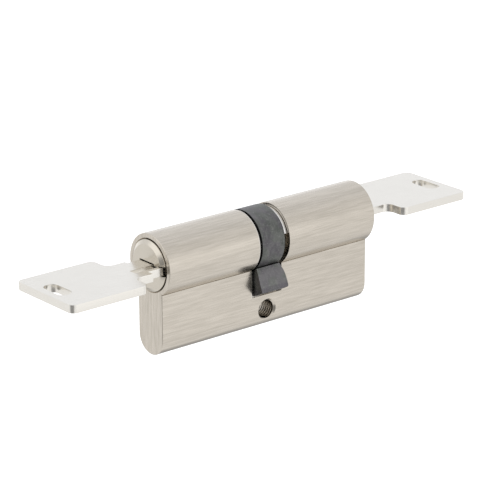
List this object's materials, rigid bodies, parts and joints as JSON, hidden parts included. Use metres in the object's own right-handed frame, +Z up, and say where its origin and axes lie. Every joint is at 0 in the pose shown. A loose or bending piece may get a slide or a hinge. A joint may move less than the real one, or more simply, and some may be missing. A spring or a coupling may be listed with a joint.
{
  "type": "door lock cylinder",
  "caption": "Double euro-profile door lock cylinder: barrel and flat stem in satin nickel, a dark cam that turns in a central slot, and a flat dimple key in each end.",
  "frame": {"origin": "centre of the fixing-screw hole through the stem, from which both half lengths of a euro cylinder are counted", "axes": "+X along the barrel towards the end with key b, +Z up from the stem to the barrel, +Y across the stem; the cam's lever rests towards -Y"},
  "size_m": [0.1378, 0.0286, 0.033],
  "materials": {
    "satin_nickel": "satin nickel plate, brushed along the barrel",
    "plug_nickel": "fine turned nickel plate",
    "key_nickel": "bright nickel plate",
    "sintered_steel": "dark sintered steel, tumbled",
    "bright_steel": "bright stamped steel",
    "pin_brass": "turned brass",
    "spring_steel": "drawn wire"
  },
  "bodies": {
    "housing": {"housing": "satin_nickel", "chamber_plug_a1": "pin_brass", "chamber_plug_a2": "pin_brass", "chamber_plug_a3": "pin_brass", "chamber_plug_a4": "pin_brass", "chamber_plug_a5": "pin_brass", "chamber_plug_b1": "pin_brass", "chamber_plug_b2": "pin_brass", "chamber_plug_b3": "pin_brass", "chamber_plug_b4": "pin_brass", "chamber_plug_b5": "pin_brass", "pin_spring_a1": "spring_steel", "pin_spring_a2": "spring_steel", "pin_spring_a3": "spring_steel", "pin_spring_a4": "spring_steel", "pin_spring_a5": "spring_steel", "pin_spring_b1": "spring_steel", "pin_spring_b2": "spring_steel", "pin_spring_b3": "spring_steel", "pin_spring_b4": "spring_steel", "pin_spring_b5": "spring_steel"},
    "cam": {"cam": "sintered_steel"},
    "plug_a": {"plug_a": "plug_nickel", "retaining_clip_a": "bright_steel", "coupler_a": "bright_steel", "clutch_spring": "spring_steel", "key_pin_a1": "pin_brass", "key_pin_a2": "pin_brass", "key_pin_a3": "pin_brass", "key_pin_a4": "pin_brass", "key_pin_a5": "pin_brass"},
    "plug_b": {"plug_b": "plug_nickel", "retaining_clip_b": "bright_steel", "key_pin_b1": "pin_brass", "key_pin_b2": "pin_brass", "key_pin_b3": "pin_brass", "key_pin_b4": "pin_brass", "key_pin_b5": "pin_brass"},
    "coupler_b": {"coupler_b": "bright_steel"},
    "key_a": {"key_a": "key_nickel"},
    "key_b": {"key_b": "key_nickel"},
    "driver_a1": {"driver_pin_a1": "pin_brass"},
    "driver_a2": {"driver_pin_a2": "pin_brass"},
    "driver_a3": {"driver_pin_a3": "pin_brass"},
    "driver_a4": {"driver_pin_a4": "pin_brass"},
    "driver_a5": {"driver_pin_a5": "pin_brass"},
    "driver_b1": {"driver_pin_b1": "pin_brass"},
    "driver_b2": {"driver_pin_b2": "pin_brass"},
    "driver_b3": {"driver_pin_b3": "pin_brass"},
    "driver_b4": {"driver_pin_b4": "pin_brass"},
    "driver_b5": {"driver_pin_b5": "pin_brass"}
  },
  "joints": [
    {"name": "plug_a_turn", "type": "hinge", "parent": "housing", "child": "plug_a", "pos_m": [-0.035, 0, 0.019], "axis": [1, 0, 0], "continuous": true},
    {"name": "plug_b_turn", "type": "hinge", "parent": "housing", "child": "plug_b", "pos_m": [0.035, 0, 0.019], "axis": [1, 0, 0], "continuous": true},
    {"name": "cam_turn", "type": "hinge", "parent": "housing", "child": "cam", "pos_m": [0, 0, 0.019], "axis": [1, 0, 0], "continuous": true},
    {"name": "key_a_pull", "type": "slide", "parent": "plug_a", "child": "key_a", "axis": [-1, 0, 0], "range_m": [0, 0.031]},
    {"name": "key_b_pull", "type": "slide", "parent": "plug_b", "child": "key_b", "axis": [1, 0, 0], "range_m": [0, 0.0325]},
    {"name": "coupler_b_shift", "type": "slide", "parent": "plug_b", "child": "coupler_b", "axis": [1, 0, 0], "range_m": [0, 0.0016], "deforming": ["clutch_spring"]},
    {"name": "driver_a1_press", "type": "slide", "parent": "housing", "child": "driver_a1", "axis": [0, 0, -1], "range_m": [0, 0.0015], "stiffness_N_per_m": 60, "springref_m": -0.003, "deforming": ["pin_spring_a1"]},
    {"name": "driver_a2_press", "type": "slide", "parent": "housing", "child": "driver_a2", "axis": [0, 0, -1], "range_m": [0, 0.0015], "stiffness_N_per_m": 60, "springref_m": -0.003, "deforming": ["pin_spring_a2"]},
    {"name": "driver_a3_press", "type": "slide", "parent": "housing", "child": "driver_a3", "axis": [0, 0, -1], "range_m": [0, 0.0015], "stiffness_N_per_m": 60, "springref_m": -0.003, "deforming": ["pin_spring_a3"]},
    {"name": "driver_a4_press", "type": "slide", "parent": "housing", "child": "driver_a4", "axis": [0, 0, -1], "range_m": [0, 0.0015], "stiffness_N_per_m": 60, "springref_m": -0.003, "deforming": ["pin_spring_a4"]},
    {"name": "driver_a5_press", "type": "slide", "parent": "housing", "child": "driver_a5", "axis": [0, 0, -1], "range_m": [0, 0.0015], "stiffness_N_per_m": 60, "springref_m": -0.003, "deforming": ["pin_spring_a5"]},
    {"name": "driver_b1_press", "type": "slide", "parent": "housing", "child": "driver_b1", "axis": [0, 0, -1], "range_m": [0, 0.0015], "stiffness_N_per_m": 60, "springref_m": -0.003, "deforming": ["pin_spring_b1"]},
    {"name": "driver_b2_press", "type": "slide", "parent": "housing", "child": "driver_b2", "axis": [0, 0, -1], "range_m": [0, 0.0015], "stiffness_N_per_m": 60, "springref_m": -0.003, "deforming": ["pin_spring_b2"]},
    {"name": "driver_b3_press", "type": "slide", "parent": "housing", "child": "driver_b3", "axis": [0, 0, -1], "range_m": [0, 0.0015], "stiffness_N_per_m": 60, "springref_m": -0.003, "deforming": ["pin_spring_b3"]},
    {"name": "driver_b4_press", "type": "slide", "parent": "housing", "child": "driver_b4", "axis": [0, 0, -1], "range_m": [0, 0.0015], "stiffness_N_per_m": 60, "springref_m": -0.003, "deforming": ["pin_spring_b4"]},
    {"name": "driver_b5_press", "type": "slide", "parent": "housing", "child": "driver_b5", "axis": [0, 0, -1], "range_m": [0, 0.0015], "stiffness_N_per_m": 60, "springref_m": -0.003, "deforming": ["pin_spring_b5"]}
  ],
  "couplings": [
    {"joint": "cam_turn", "follows": "plug_b_turn", "ratio": 1},
    {"joint": "coupler_b_shift", "follows": "key_b_pull", "ratio": 0.0492}
  ]
}
